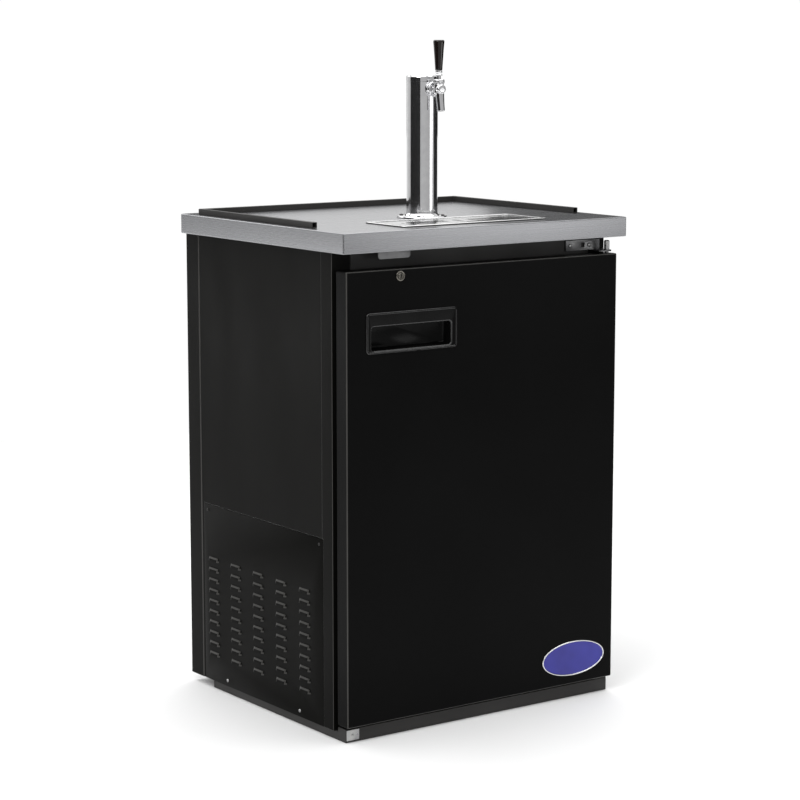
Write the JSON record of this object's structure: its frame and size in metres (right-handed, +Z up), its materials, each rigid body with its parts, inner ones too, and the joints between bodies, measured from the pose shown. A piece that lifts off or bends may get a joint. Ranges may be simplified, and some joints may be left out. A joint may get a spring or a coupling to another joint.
{
  "type": "kegerator",
  "caption": "Free-standing keg cooler and draught beer dispenser: black insulated cabinet with a hinged door, stainless worktop, gallery rail, drip tray and a single-tap column.",
  "frame": {"origin": "on the floor, under the middle of the worktop", "axes": "+Z up, the door and the tap face -Y, +X to the right as seen from the front (the hinge side)"},
  "size_m": [0.686, 0.587, 1.3283],
  "materials": {
    "black_vinyl_steel": "satin black coated steel",
    "black_frame": "satin black painted steel",
    "brushed_stainless": "brushed",
    "polished_stainless": "polished",
    "zinc_steel": "zinc plated",
    "black_plastic": "moulded, semi-gloss",
    "black_rubber": "matt",
    "foam": "rigid insulating foam",
    "liner_aluminium": "stucco sheet",
    "copper": "drawn copper tube",
    "badge_enamel": "blue enamel",
    "white_plastic": "moulded",
    "clear_line": "flexible line",
    "compressor_black": "gloss black paint"
  },
  "bodies": {
    "cabinet": {"base_frame": "black_frame", "floor_pan": "zinc_steel", "side_panel_left": "black_vinyl_steel", "side_panel_right": "black_vinyl_steel", "louver_panel_left": "black_vinyl_steel", "louver_panel_right": "black_vinyl_steel", "back_panel": "black_vinyl_steel", "rear_grille": "black_vinyl_steel", "cord_gland": "black_rubber", "wall_left": "liner_aluminium", "wall_right": "liner_aluminium", "wall_back": "liner_aluminium", "keg_floor": "liner_aluminium", "roof_slab": "foam", "bulkhead": "black_frame", "header_rail": "black_vinyl_steel", "worktop": "brushed_stainless", "gallery_rail": "black_frame", "hinge_bracket_top": "zinc_steel", "hinge_pin_top": "zinc_steel", "hinge_bracket_bottom": "zinc_steel", "lock_strike": "zinc_steel", "tower_flange": "polished_stainless", "tower_column": "polished_stainless", "shank": "polished_stainless", "shank_nut": "zinc_steel", "coupling_nut": "polished_stainless", "tap_body": "polished_stainless", "tap_bonnet": "polished_stainless", "beer_line": "clear_line", "line_union": "polished_stainless", "evaporator_cover": "white_plastic", "evaporator_coil": "liner_aluminium", "evaporator_fan_motor": "compressor_black", "thermostat_box": "white_plastic", "condenser_coil": "liner_aluminium", "fan_shroud": "black_frame", "condenser_fan_motor": "compressor_black", "compressor": "compressor_black", "discharge_pipe": "copper", "suction_pipe": "copper", "condensate_pan": "black_plastic"},
    "door": {"door_skin": "black_vinyl_steel", "door_core": "foam", "door_liner": "liner_aluminium", "door_gasket": "black_rubber", "door_handle": "black_plastic", "badge_plate": "badge_enamel", "lock_bezel": "polished_stainless"},
    "lock": {"lock_plug": "polished_stainless", "lock_cam": "zinc_steel"},
    "tap_lever": {"tap_lever": "polished_stainless", "tap_handle": "black_plastic"},
    "tap_plunger": {"tap_plunger": "polished_stainless"},
    "tower_cap": {"tower_cap": "polished_stainless"},
    "drip_tray": {"drip_tray": "brushed_stainless"},
    "drip_grille": {"drip_grille": "brushed_stainless"},
    "evaporator_fan": {"evaporator_fan": "white_plastic"},
    "condenser_fan": {"condenser_fan": "black_plastic"},
    "thermostat_knob": {"thermostat_knob": "black_plastic"}
  },
  "joints": [
    {"name": "door_hinge", "type": "hinge", "parent": "cabinet", "child": "door", "pos_m": [0.3205, -0.2598, 0.45], "axis": [0, 0, 1], "range_deg": [0, 120]},
    {"name": "lock_turn", "type": "hinge", "parent": "door", "child": "lock", "pos_m": [-0.2058, -0.2567, 0.8913], "axis": [0, -1, 0], "range_deg": [0, 90]},
    {"name": "tap_pull", "type": "hinge", "parent": "cabinet", "child": "tap_lever", "pos_m": [0, -0.1237, 1.2475], "axis": [1, 0, 0], "range_deg": [0, 30]},
    {"name": "tap_plunger_slide", "type": "slide", "parent": "cabinet", "child": "tap_plunger", "axis": [0, 1, 0], "range_m": [0, 0.0066]},
    {"name": "tower_cap_lift", "type": "slide", "parent": "cabinet", "child": "tower_cap", "axis": [0, 0, 1], "range_m": [0, 0.03]},
    {"name": "drip_tray_lift", "type": "slide", "parent": "cabinet", "child": "drip_tray", "axis": [0, 0, 1], "range_m": [0, 0.06]},
    {"name": "drip_grille_lift", "type": "slide", "parent": "drip_tray", "child": "drip_grille", "axis": [0, 0, 1], "range_m": [0, 0.05]},
    {"name": "evaporator_fan_spin", "type": "hinge", "parent": "cabinet", "child": "evaporator_fan", "pos_m": [0.085, 0.205, 0.77], "axis": [0, 1, 0], "continuous": true},
    {"name": "condenser_fan_spin", "type": "hinge", "parent": "cabinet", "child": "condenser_fan", "pos_m": [-0.203, 0.03, 0.129], "axis": [1, 0, 0], "continuous": true},
    {"name": "thermostat_turn", "type": "hinge", "parent": "cabinet", "child": "thermostat_knob", "pos_m": [0.255, 0.13, 0.83], "axis": [-1, 0, 0], "range_deg": [-135, 135]}
  ],
  "couplings": [
    {"joint": "tap_plunger_slide", "follows": "tap_pull", "m_per_rad": 0.0124}
  ]
}
